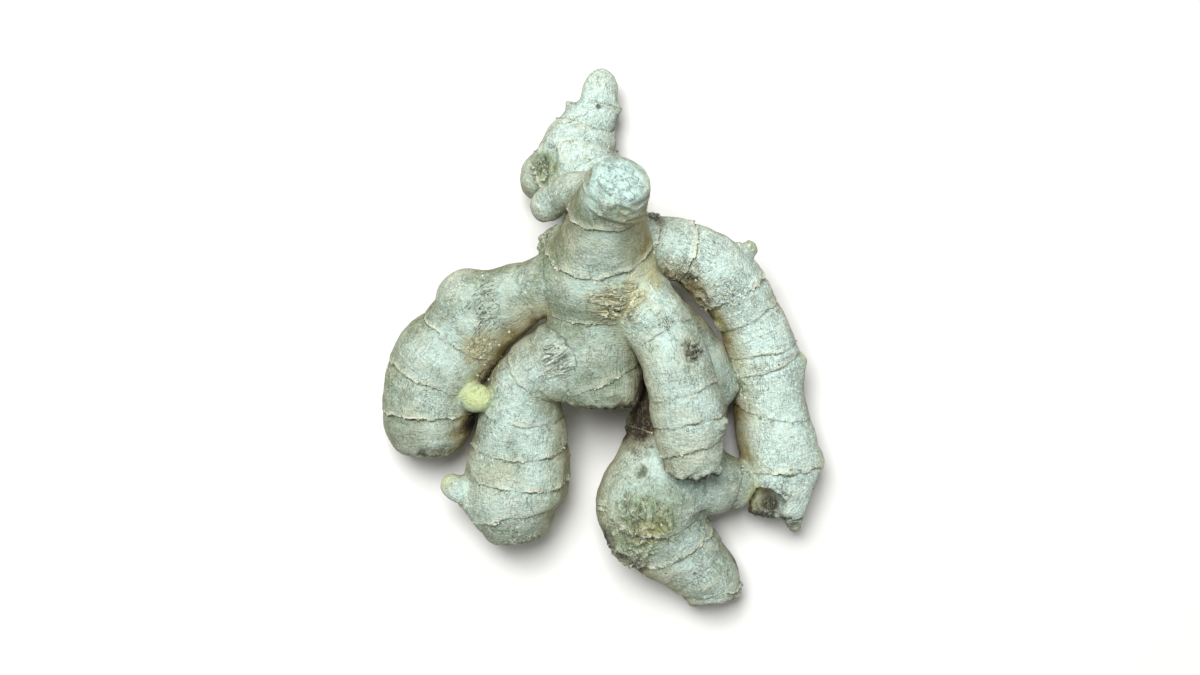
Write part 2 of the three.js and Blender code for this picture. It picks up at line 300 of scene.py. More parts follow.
def gradientNoise(points, size, seed):  # smooth, about -1 to 1, in lumps about size across
    slopes = np.random.default_rng(seed).normal(size=(4096, 3))
    slopes /= np.linalg.norm(slopes, axis=1)[:, None]
    scaled = points / np.array(size)
    cell = np.floor(scaled).astype(np.int64)
    inside = scaled - cell
    ease = inside ** 3 * (inside * (inside * 6 - 15) + 10)
    total = np.zeros(len(points))
    for corner in np.ndindex(2, 2, 2):
        corner = np.array(corner)
        at = cell + corner
        key = (at[:, 0] * 73856093) ^ (at[:, 1] * 19349663) ^ (at[:, 2] * 83492791)
        share = np.prod(np.where(corner == 1, ease, 1 - ease), axis=1)
        total += share * np.einsum("ij,ij->i", inside - corner, slopes[key % 4096])
    return total * 1.7


def smoothStep(low, high, value):
    t = np.clip((value - low) / (high - low), 0, 1)
    return t * t * (3 - 2 * t)


def lengths(rows):
    return np.linalg.norm(rows, axis=1)


def unit(rows):
    return rows / np.maximum(np.linalg.norm(rows, axis=-1, keepdims=True), 1e-9)


def perPoint(owner, key, usual=None):  # a value of the limb that each point is on
    return np.array([limb.get(key, usual) for limb in limbs.values()])[owner]


def layOut(limb, step=0.5, perStretch=60):  # the limb's middle line, directions and radius
    stations = np.array(limb["points"], float)
    last = len(stations) - 1
    places, radii = [], []
    for i in range(last):
        here, there = stations[i], stations[i + 1]
        before = stations[i - 1] if i else np.append(2 * here[:3] - there[:3], here[3])
        after = stations[i + 2] if i + 2 <= last else np.append(2 * there[:3] - here[:3], there[3])
        d0, d1, d2 = [np.linalg.norm(b[:3] - a[:3]) ** 0.5
                      for a, b in ((before, here), (here, there), (there, after))]
        p0, p1, p2, p3 = before[:3], here[:3], there[:3], after[:3]
        leave = ((p1 - p0) / d0 - (p2 - p0) / (d0 + d1) + (p2 - p1) / d1) * d1
        reach = ((p2 - p1) / d1 - (p3 - p1) / (d1 + d2) + (p3 - p2) / d2) * d1
        rLeave, rReach = (there[3] - before[3]) / 2, (after[3] - here[3]) / 2
        t = np.linspace(0, 1, perStretch, endpoint=i == last - 1)[:, None]
        a, b = 2 * t ** 3 - 3 * t ** 2 + 1, t ** 3 - 2 * t ** 2 + t
        c, d = -2 * t ** 3 + 3 * t ** 2, t ** 3 - t ** 2
        places.append(a * p1 + b * leave + c * p2 + d * reach)
        radii.append((a * here[3] + b * rLeave + c * there[3] + d * rReach)[:, 0])
    places, radii = np.concatenate(places), np.concatenate(radii)
    run = np.append(0, np.cumsum(lengths(np.diff(places, axis=0))))
    along = np.linspace(0, run[-1], max(8, round(run[-1] / step)) + 1)
    middle = np.stack([np.interp(along, run, places[:, k]) for k in range(3)], 1)
    aim = unit(np.gradient(middle, axis=0))
    top = unit(np.array([0, 0, 1.0]) - aim * aim[:, 2:])
    rootEnd, tipEnd = limb["ends"]
    rounding = np.sqrt(np.clip(1 - (1 - np.minimum(along / rootEnd, 1)) ** 2, 0, 1))
    left = np.maximum(run[-1] - along, 0)
    rounding *= np.sqrt(np.clip(1 - (1 - np.minimum(left / tipEnd, 1)) ** 2, 0, 1))
    limb.update(along=along, length=run[-1], middle=middle, aim=aim, top=top,
                side=np.cross(aim, top), radius=np.interp(along, run, radii) * rounding)


def limbShell(limb, sides):  # a closed mesh of one limb: its points and its faces
    turn = np.linspace(0, 2 * np.pi, sides, endpoint=False)[None, :, None]
    ringPoints = limb["middle"][1:-1, None] + limb["radius"][1:-1, None, None] * (
        np.cos(turn) * limb["top"][1:-1, None] + np.sin(turn) * limb["side"][1:-1, None])
    count = len(ringPoints)
    points = np.concatenate([ringPoints.reshape(-1, 3), limb["middle"][[0, -1]]])
    faces = []
    for j in range(sides):
        k = (j + 1) % sides
        faces.append((count * sides, j, k))
        faces.append((count * sides + 1, (count - 1) * sides + k, (count - 1) * sides + j))
        for i in range(count - 1):
            faces.append((i * sides + j, (i + 1) * sides + j, (i + 1) * sides + k, i * sides + k))
    return points, faces


def layOutHand():  # every limb, moved sideways as one to lie as the frame has it
    for limb in limbs.values():
        layOut(limb)
    ends = np.concatenate([limbShell(limb, 96)[0] for limb in limbs.values()])
    low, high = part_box(rootNode)
    middle = (np.array(low) + np.array(high))[:2] / 2 / mm
    shift = middle - (ends.min(0) + ends.max(0))[:2] / 2
    for limb in limbs.values():
        limb["middle"][:, :2] += shift
        limb["low"], limb["high"] = limb["middle"].min(0), limb["middle"].max(0)
    for limb in limbs.values():  # where it comes out of the limb it grew from
        limb["clear"] = 0
        if "grownFrom" in limb:
            _, _, _, gap = measured(limbs[limb["grownFrom"]], limb["middle"])
            limb["clear"] = limb["along"][min((gap > 0).argmax(), len(gap) - 1)]
    return shift


def measured(limb, points):  # offset from the middle line, its row, the place, the height above
    middle = limb["middle"].astype(np.float32)
    far = (middle ** 2).sum(1)
    row = np.concatenate([(far - 2 * points[i:i + 40000].astype(np.float32) @ middle.T).argmin(1)
                          for i in range(0, len(points), 40000)])
    offset = points - limb["middle"][row]
    slip = np.clip((offset * limb["aim"][row]).sum(1), -0.5, 0.5)
    offset = offset - slip[:, None] * limb["aim"][row]
    place = limb["along"][row] + slip
    gap = lengths(offset) - np.interp(place, limb["along"], limb["radius"])
    return offset, row, place, gap


def nearPoints(limb, points, room=32):
    return np.flatnonzero(np.all((points > limb["low"] - room) & (points < limb["high"] + room), 1))


def softUnion(points):  # height above the softly joined limbs, and the way out of them
    total, plain = np.full(len(points), farAway), np.full(len(points), farAway)
    outward = np.zeros((len(points), 3))
    for limb in limbs.values():
        near = nearPoints(limb, points)
        offset, _, place, gap = measured(limb, points[near])
        least, (full, faded) = skin["leastBlend"], skin["blendRun"]
        soft = least + np.maximum(limb.get("blend", 0) - least, 0) * smoothStep(
            limb["clear"] + faded, limb["clear"] + full, place)
        share = np.clip(0.5 + 0.5 * (total[near] - gap) / soft, 0, 1)
        total[near] = total[near] * (1 - share) + gap * share - soft * share * (1 - share)
        plain[near] = np.minimum(plain[near], gap)
        outward[near] = outward[near] * (1 - share)[:, None] + unit(offset) * share[:, None]
    return total, plain, outward


def limbPlaces(points):  # which limb each point is on, where on it, and how near the next one is
    nearest, second = np.full(len(points), farAway), np.full(len(points), farAway)
    owner = np.zeros(len(points), int)
    local = np.zeros((len(points), 3))
    for index, limb in enumerate(limbs.values()):
        near = nearPoints(limb, points)
        offset, row, place, gap = measured(limb, points[near])
        closer = gap < nearest[near]
        second[near] = np.where(closer, nearest[near], np.minimum(second[near], gap))
        across = (offset * limb["side"][row]).sum(1)
        upward = (offset * limb["top"][row]).sum(1)
        chosen = near[closer]
        nearest[chosen] = gap[closer]
        owner[chosen] = index
        local[chosen] = np.stack([across, upward, place], 1)[closer]
    return owner, local, np.maximum(second - np.clip(nearest, -2, 2), 0)


def newObject(name, data):
    obj = bpy.data.objects.new(name, data)
    bpy.context.scene.collection.objects.link(obj)
    return obj


def meshObject(name, points, faces, edges=()):
    mesh = bpy.data.meshes.new(name)
    mesh.from_pydata(np.asarray(points).tolist(), list(edges), list(faces))
    mesh.update()
    return newObject(name, mesh)


def applied(obj):  # the object's modifiers turned into its plain mesh
    graph = bpy.context.evaluated_depsgraph_get()
    graph.update()
    old = obj.data
    new = bpy.data.meshes.new_from_object(obj.evaluated_get(graph))
    obj.modifiers.clear()
    obj.data = new
    name = obj.name
    bpy.data.meshes.remove(old)
    new.name = name
    return obj


def meshArrays(mesh):
    points = np.empty(len(mesh.vertices) * 3, np.float32)
    mesh.vertices.foreach_get("co", points)
    normals = np.empty(len(mesh.vertices) * 3, np.float32)
    mesh.vertex_normals.foreach_get("vector", normals)
    edges = np.empty(len(mesh.edges) * 2, np.int32)
    mesh.edges.foreach_get("vertices", edges)
    return (points.reshape(-1, 3).astype(float) / mm, normals.reshape(-1, 3).astype(float),
            edges.reshape(-1, 2))


def movePoints(mesh, points):
    mesh.vertices.foreach_set("co", (points * mm).astype(np.float32).ravel())
    mesh.update()


def evened(values, edges, weight, rounds):  # each value moves towards the mean of its neighbours
    count = len(values)
    weight = np.broadcast_to(weight, count)
    ends = np.concatenate([edges[:, 0], edges[:, 1]])
    others = np.concatenate([edges[:, 1], edges[:, 0]])
    sharing = np.maximum(np.bincount(ends, minlength=count), 1)[:, None]
    for _ in range(rounds):
        sums = [np.bincount(ends, values[others, k], count) for k in range(values.shape[1])]
        values = values + weight[:, None] * (np.stack(sums, 1) / sharing - values)
    return values


def ringEdgePlace(index, ring, across, upward):  # how far along the limb a ring runs at each turn
    place, slant, bow, _ = ring
    turn = np.arctan2(across, upward)
    flat = np.stack([across, upward, np.full(len(across), place + limbStep * index)], 1)
    wave = sum(height * gradientNoise(flat, width, seed)
               for width, height, seed in skin["ringWaves"])
    return place + slant * np.sin(turn) + bow * np.cos(turn) + wave


def ringFray(index, ring, across, upward):  # how much of a ring's edge still stands
    flat = np.stack([across, upward, np.full(len(across), ring[0] + limbStep * index)], 1)
    usual, change, width = skin["ringFray"]
    return ring[3] * np.clip(usual + change * gradientNoise(flat, width, 23), 0.05, 1.5)


def ringField(owner, local):  # distance to the nearest ring, its strength, and the swell between
    gap = np.full(len(owner), 9.0)
    force = np.zeros(len(owner))
    swell = np.zeros(len(owner))
    for index, limb in enumerate(limbs.values()):
        mine = np.flatnonzero(owner == index)
        if not len(mine) or not limb["rings"]:
            continue
        across, upward, place = local[mine].T
        gaps = np.stack([place - ringEdgePlace(index, r, across, upward) for r in limb["rings"]], 1)
        forces = np.stack([ringFray(index, r, across, upward) for r in limb["rings"]], 1)
        nearestRing = np.abs(gaps).argmin(1)
        pick = np.arange(len(mine))
        gap[mine] = gaps[pick, nearestRing]
        force[mine] = forces[pick, nearestRing]
        before = np.min(np.where(gaps > 0, gaps, skin["ringSpacing"]), axis=1)
        after = np.min(np.where(gaps <= 0, -gaps, skin["ringSpacing"]), axis=1)
        swell[mine] = np.sin(np.pi * before / np.maximum(before + after, 1e-6))
    return gap, force, swell


def spotWeight(points, place, reach, core=0.3):  # 1 near a place, 0 past its reach, frayed between
    frayed = 1 + 0.3 * gradientNoise(points, 3.5, 71) + 0.2 * gradientNoise(points, 1.3, 72)
    away = lengths(points - np.array(place)) * frayed
    return smoothStep(reach, reach * core, away)


def markWave(kind, here, laid):  # the shape of a mark, about -1 to 1
    if kind == "folds":
        wave = 1 - 2.2 * np.abs(gradientNoise(laid, (7.0, 7.0, 2.0), 31))
        return wave + 0.4 * gradientNoise(laid, (3.0, 3.0, 1.1), 32)
    if kind == "pleats":
        wave = 1 - 2.2 * np.abs(gradientNoise(laid, (1.8, 1.8, 8.0), 33))
        return wave + 0.4 * gradientNoise(laid, (1.1, 1.1, 4.0), 34)
    if kind == "crumple":
        wave = 1 - 2.6 * np.abs(gradientNoise(here, 4.2, 47))
        return wave + 0.5 - 0.9 * np.abs(gradientNoise(here, 1.9, 48))
    if kind == "net":
        return 1 - 3 * np.abs(gradientNoise(laid, (2.0, 2.0, 2.8), 35))
    if kind == "slits":
        cut = np.abs(gradientNoise(laid, (2.0, 2.0, 4.5), 36))
        return -1.5 * smoothStep(0.09, 0.0, cut)
    if kind == "scab":
        return 1.2 * gradientNoise(here, 2.6, 37) + 0.9 * gradientNoise(here, 1.2, 38)
    return np.full(len(here), -1.0 if kind == "pit" else 1.0)


def markRelief(points, laid, whole):  # crumples, cuts, pits and bumps
    relief = np.zeros(len(points))
    for kind, place, reach, height in marks:
        close = np.flatnonzero(lengths(points - np.array(place)) < reach * 1.6)
        if len(close):
            weight = spotWeight(points[close], place, reach)
            if kind in ("folds", "pleats", "net", "slits"):
                weight = weight * whole[close]
            relief[close] += weight * height * markWave(kind, points[close], laid[close])
    return relief


def endRelief(points, owner, local):  # the broken ends: the stem scar and the torn tips
    relief = np.zeros(len(points))
    place = local[:, 2]
    mother = owner == limbNames.index("mother")
    fromAxis = np.hypot(local[:, 0], local[:, 1])
    scar = mother * smoothStep(7.4, 6.6, fromAxis) * smoothStep(6, 4, place)
    cracks = np.abs(gradientNoise(points, 4.5, 41)) + 0.3 * np.abs(gradientNoise(points, 1.5, 42))
    relief += scar * (0.35 * gradientNoise(points, 3, 43) - 0.55 * smoothStep(0.12, 0.03, cracks)
                      - 0.4)
    collar = mother * smoothStep(2.5, 5, place) * smoothStep(16, 9, place)
    creases = 1 - 2.4 * np.abs(gradientNoise(local, (7.0, 7.0, 2.6), 44))
    relief += collar * 0.75 * creases
    for name, (depth, height, _) in tornEnds.items():
        end = (owner == limbNames.index(name)) * (limbs[name]["length"] - place < depth + 1)
        torn = end * smoothStep(depth, depth * 0.3, limbs[name]["length"] - place)
        jag = 1.3 * gradientNoise(points, 4.2, 45) + 0.7 * gradientNoise(points, 1.5, 46)
        relief += torn * height * jag
    return relief


def skinRelief(points, owner, local, second):  # how far the skin stands out at each point
    laid = local + np.array([0, 0, limbStep]) * owner[:, None]
    clear = smoothStep(0.2, 2.2, second)
    relief = np.zeros(len(points))
    for width, height in skin["lumps"]:
        relief += height * gradientNoise(points, width, int(width * 10))
    gap, force, swell = ringField(owner, local)
    relief += skin["bulge"] * swell * smoothStep(*skin["bulgeFade"], second) * (force > 0)
    (edge, before), (fall, after) = skin["ringEdge"], skin["ringFall"]
    rim = np.where(gap < 0, edge * np.exp(np.minimum(gap, 0) / before),
                   -fall * np.exp(-np.maximum(gap, 0) / after))
    relief += clear * force * rim
    patchy = np.clip(0.5 + gradientNoise(points, 9, 63), 0, 1.3)
    whole = smoothStep(0.1, 2.0, second)
    relief += skin["stretch"] * whole * patchy * gradientNoise(laid, (1.5, 1.5, 9.0), 62)
    relief += skin["stretch"] * whole * gradientNoise(laid, (9.0, 9.0, 1.7), 64)
    relief += markRelief(points, laid, whole)
    relief += endRelief(points, owner, local)
    return relief, gap, force


def cutBack(points):  # what stands past a cut pressed back towards it
    for place, aim, reach in cuts:
        offset = points - np.array(place)
        aim = unit(np.array(aim, float))
        near = smoothStep(reach, reach * 0.6, lengths(offset))
        points = points - (skin["cutShare"] * near * np.maximum(offset @ aim, 0))[:, None] * aim
    return points


def sinkHollow(points):  # the dried hollow at the end of the right finger
    offset = points - np.array(skin["hollowAt"])
    aim = unit(np.array(skin["hollowAim"]))
    across = offset - (offset @ aim)[:, None] * aim
    frayed = lengths(across) * (1 + 0.2 * gradientNoise(points, 2.5, 81))
    near = (frayed < skin["hollowReach"]) & (lengths(offset) < 9)
    bowl = np.sqrt(np.clip(1 - (frayed / skin["hollowReach"]) ** 2, 0, 1))
    return points + (near * bowl * skin["hollowDepth"])[:, None] * aim


def addAttribute(mesh, name, values, kind="FLOAT"):
    attribute = mesh.attributes.new(name, kind, "POINT")
    key = "value" if kind == "FLOAT" else "vector"
    attribute.data.foreach_set(key, np.ascontiguousarray(values, dtype=np.float32).ravel())


def paintSkin(obj):  # what the finish needs to know at each point of the skin
    mesh = obj.data
    points, normals, edges = meshArrays(mesh)
    owner, local, second = limbPlaces(points)
    laid = local + np.array([0, 0, limbStep]) * owner[:, None]
    _, gap, force = skinRelief(points, owner, local, second)
    addAttribute(mesh, "limbSpace", laid, "FLOAT_VECTOR")
    addAttribute(mesh, "ringGap", np.clip(gap, -6, 6))
    shown = smoothStep(0.2, 1.6, second) * smoothStep(2.5, 1.9, np.abs(gap))
    addAttribute(mesh, "ringForce", force * shown)
    whole = smoothStep(0.1, 1.6, second)
    addAttribute(mesh, "whole", whole)
    # Painted shade in sunk places and painted highlight on raised ones, from how far each point
    # sits below its neighbours.
    flat = evened(points, edges, 0.8, 5)
    sunk = ((flat - points) * normals).sum(1)
    sunk = evened(sunk[:, None], edges, 0.5, 2)[:, 0]
    addAttribute(mesh, "crease", smoothStep(0.1, 0.5, sunk))
    addAttribute(mesh, "crest", smoothStep(0.02, 0.2, -sunk))
    # Painted shade: sides that face away from up turn olive and brown in the finish.
    flank = smoothStep(0.74, -0.12, normals[:, 2])
    tones = perPoint(owner, "tone")
    # Painted highlight: skin that faces up is made paler, towards chalk, in the finish.
    dusted = smoothStep(0.62, 0.96, normals[:, 2])
    soft = evened(np.stack([tones, flank, dusted], 1), edges, 0.7, 25)
    addAttribute(mesh, "tone", soft[:, 0])
    addAttribute(mesh, "flank", soft[:, 1])
    addAttribute(mesh, "dusted", soft[:, 2])
    atRing = np.abs(gap + 0.2) < 1
    addAttribute(mesh, "stubby", smoothStep(-0.35, -0.8, normals[:, 2]) * (points[:, 2] > 4))
    fromAxis = np.maximum(np.hypot(local[:, 0], local[:, 1]), 1e-3)
    brownSides = perPoint(owner, "soiled", (0, 0))
    # One side of each limb, chosen in its limb settings, turns golden brown in the finish.
    soiled = brownSides[:, 1] * smoothStep(0.3, 0.95, brownSides[:, 0] * local[:, 0] / fromAxis
                                      + 0.3 * gradientNoise(points, 7, 73))
    soiled = evened(soiled[:, None], edges, 0.7, 12)[:, 0]
    addAttribute(mesh, "soiled", np.clip(soiled, 0, 1))
    fromTip = perPoint(owner, "length") - local[:, 2]
    tornEnd = np.isin(owner, [limbNames.index(name) for name in tornEnds if tornEnds[name][2]])
    charred = tornEnd * smoothStep(2.6, 0.9, fromTip + 0.8 * gradientNoise(points, 2.2, 74))
    for kind, spots in stains.items():
        total = charred if kind == "soot" else np.zeros(len(points))
        for place, reach, strength in spots:
            total = np.maximum(total, strength * spotWeight(points, place, reach, 0.2))
        addAttribute(mesh, kind, np.clip(total, 0, 1))
    rough = 0.003 + 0.1 * atRing
    for kind, flaking in flakiness.items():
        total = np.zeros(len(points))
        for mark, place, reach, _ in marks:
            if mark == kind:
                total = np.maximum(total, spotWeight(points, place, reach, 0.35))
        addAttribute(mesh, kind, total * (whole if kind in ("folds", "pleats", "net") else 1))
        rough = np.maximum(rough, flaking * total)
    addAttribute(mesh, "flaking", rough * (points[:, 2] > 2))


def buildSkin():
    shift = layOutHand()
    shells, faces, start = [], [], 0
    for limb in limbs.values():
        sides = skin["limbSides"] if limb["length"] > 40 else skin["limbSides"] // 2
        shellPoints, shellFaces = limbShell(limb, sides)
        shells.append(shellPoints)
        faces += [tuple(start + v for v in face) for face in shellFaces]
        start += len(shellPoints)
    print("hand laid out,", len(limbs), "limbs, moved by", shift.round(2), "mm")
    obj = meshObject("ginger_skin", np.concatenate(shells) * mm, faces)
    join = obj.modifiers.new("join", "REMESH")
    join.mode = "VOXEL"
    join.voxel_size = skin["voxel"] * mm
    applied(obj)
    points, _, edges = meshArrays(obj.data)
    print("limbs joined,", len(points), "points")

    for _ in range(3):
        total, plain, outward = softUnion(points)
        blended = smoothStep(0.02, 0.3, plain - total)
        points = points - (np.clip(total, -2, 2) * blended)[:, None] * outward
    points = evened(points, edges, 0.25 + 0.4 * blended, 6)
    movePoints(obj.data, points)
    _, normals, _ = meshArrays(obj.data)
    owner, local, second = limbPlaces(points)
    relief, _, _ = skinRelief(points, owner, local, second)
    points = sinkHollow(cutBack(points) + normals * relief[:, None])
    points[:, 2] = np.maximum(points[:, 2], 0)
    movePoints(obj.data, points)
    print("skin raised by", relief.min().round(2), "to", relief.max().round(2), "mm")

    obj.modifiers.new("fold", "TRIANGULATE")
    thin = obj.modifiers.new("thin", "DECIMATE")
    thin.ratio = min(1, skin["faceLimit"] / (2 * len(obj.data.polygons)))
    applied(obj)
    obj.data.polygons.foreach_set("use_smooth", [True] * len(obj.data.polygons))
    print("skin thinned to", len(obj.data.polygons), "triangles")
    points, _, _ = meshArrays(obj.data)
    points[:, 2] = np.maximum(points[:, 2], 0.02)
    movePoints(obj.data, points)
    paintSkin(obj)
    return obj


skinPiece = buildSkin()
print("skin built")


# Colours are given as a screen shows them, 0 to 255, and turned into light.
def shade(red, green, blue):
    parts = [c / 255 for c in (red, green, blue)]
    return [c / 12.92 if c <= 0.04045 else ((c + 0.055) / 1.055) ** 2.4 for c in parts] + [1]


finish = dict(
    chalk=shade(226, 252, 242), sage=shade(136, 152, 122), warm=shade(196, 194, 158),
    earth=shade(150, 130, 66), peat=shade(86, 66, 36), loam=shade(46, 36, 18),
    moss=shade(128, 148, 84), fresh=shade(216, 230, 164), bare=shade(222, 254, 246),
    soot=shade(58, 62, 50), straw=shade(210, 206, 158), olive=shade(94, 86, 38),
    # The darkest colour on the next line is painted shade, for grooves and just past ring lips.
    paper=shade(236, 240, 216), seam=shade(74, 74, 54), slate=shade(100, 132, 128),
)


class Nodes:  # a short way to write a node tree
    def __init__(self, tree):
        self.tree = tree

    def add(self, kind, inputs=None, **settings):
        made = self.tree.nodes.new(kind)
        for key, value in settings.items():
            setattr(made, key, value)
        for key, value in (inputs or {}).items():
            self.feed(made.inputs[key], value)
        return made

    def feed(self, socket, value):
        if isinstance(value, bpy.types.NodeSocket):
            self.tree.links.new(value, socket)
        else:
            socket.default_value = value

    def math(self, operation, a, b=0.0):
        return self.add("ShaderNodeMath", {0: a, 1: b}, operation=operation).outputs[0]

    def times(self, *values):
        return functools.reduce(lambda a, b: self.math("MULTIPLY", a, b), values)

    def plus(self, *values):
        return functools.reduce(lambda a, b: self.math("ADD", a, b), values)

    def ramp(self, value, low, high, to=(0.0, 1.0)):
        made = self.add("ShaderNodeMapRange", {"Value": value, "From Min": low, "From Max": high,
                                               "To Min": to[0], "To Max": to[1]},
                        interpolation_type="SMOOTHSTEP")
        return made.outputs[0]

    def mix(self, amount, a, b, blend="MIX"):
        made = self.add("ShaderNodeMix", data_type="RGBA", blend_type=blend, clamp_factor=True)
        self.feed(made.inputs["Factor"], amount)
        self.feed(made.inputs[6], a)
        self.feed(made.inputs[7], b)
        return made.outputs[2]

    def dim(self, colour, amount):  # the colour made lighter or darker
        grey = self.add("ShaderNodeCombineColor", {0: amount, 1: amount, 2: amount}).outputs[0]
        return self.mix(1.0, colour, grey, "MULTIPLY")

    def layers(self, colour, *rows):  # each (amount, share, tint) laid over the colour
        for amount, share, tint in rows:
            colour = self.mix(self.times(amount, share), colour, finish[tint])
        return colour

    def stretch(self, vector, scale):
        return self.add("ShaderNodeMapping", {"Vector": vector, "Scale": scale}).outputs[0]

    def noise(self, vector, scale, detail=3.0, rough=0.55):
        made = self.add("ShaderNodeTexNoise", {"Vector": vector, "Scale": scale, "Detail": detail,
                                               "Roughness": rough})
        return made.outputs[0]

    def lines(self, vector, scale, width, detail=2.0):  # 1 along the noise's middle lines
        away = self.math("ABSOLUTE", self.math("SUBTRACT", self.noise(vector, scale, detail), 0.5))
        return self.ramp(away, width, 0.0)

    def attribute(self, name, output="Fac"):
        return self.add("ShaderNodeAttribute", attribute_name=name).outputs[output]


def grainGroup():  # fine grain that every finish shares: a height in millimetres and masks
    group = bpy.data.node_groups.new("fineGrain", "ShaderNodeTree")
    group.interface.new_socket("Place", in_out="INPUT", socket_type="NodeSocketVector")
    for name in ("Height", "Grain", "Mottle", "Flecks", "Specks"):
        group.interface.new_socket(name, in_out="OUTPUT", socket_type="NodeSocketFloat")
    n = Nodes(group)
    place = n.add("NodeGroupInput").outputs["Place"]
    grain = n.noise(place, 2000.0, 3, 0.75)
    mottle = n.noise(place, 380.0, 4, 0.65)
    flecks = n.noise(place, 950.0, 2, 0.6)
    cells = n.add("ShaderNodeTexVoronoi", {"Vector": place, "Scale": 420.0})
    dots = n.ramp(cells.outputs["Distance"], 0.2, 0.06)
    rare = n.ramp(n.noise(place, 110.0, 2), 0.55, 0.66)
    result = n.add("NodeGroupOutput").inputs
    n.feed(result["Height"],
           n.plus(n.times(grain, 0.6), n.times(mottle, 0.75), n.times(flecks, 0.55)))
    n.feed(result["Flecks"], flecks)
    n.feed(result["Grain"], grain)
    n.feed(result["Mottle"], mottle)
    n.feed(result["Specks"], n.times(dots, rare))
    return group


fineGrain = grainGroup()


def newMaterial(name):
    material = bpy.data.materials.new(name)
    material.use_nodes = True
    n = Nodes(material.node_tree)
    surface = material.node_tree.nodes["Principled BSDF"]
    place = n.add("ShaderNodeTexCoord").outputs["Object"]
    grain = n.add("ShaderNodeGroup", node_tree=fineGrain)
    n.feed(grain.inputs["Place"], place)
    return material, n, surface, place, grain.outputs


def finishSurface(n, surface, colour, height, mottle):
    n.feed(surface.inputs["Base Color"], colour)
    n.feed(surface.inputs["Roughness"], n.ramp(mottle, 0.3, 0.7, (0.78, 0.95)))
    bump = n.add("ShaderNodeBump", {"Height": height, "Strength": 1.0, "Distance": mm})
    n.feed(surface.inputs["Normal"], bump.outputs[0])


# The lines on a mark: (kind, stretch, scale, width, height, tint of the raised ones).
markLines = [
    ("folds", (0.13, 0.13, 0.42), 1.2, 0.09, 0.8, "straw"),
    ("pleats", (0.5, 0.5, 0.11), 1.0, 0.09, 0.7, "paper"),
    ("net", (0.5, 0.5, 0.34), 1.2, 0.05, 0.4, "paper"),
    ("scab", (0.4, 0.4, 0.4), 0.9, 0.05, 0.5, "paper"),
    ("crumple", (0.3, 0.3, 0.3), 0.9, 0.045, 0.6, "warm"),
]


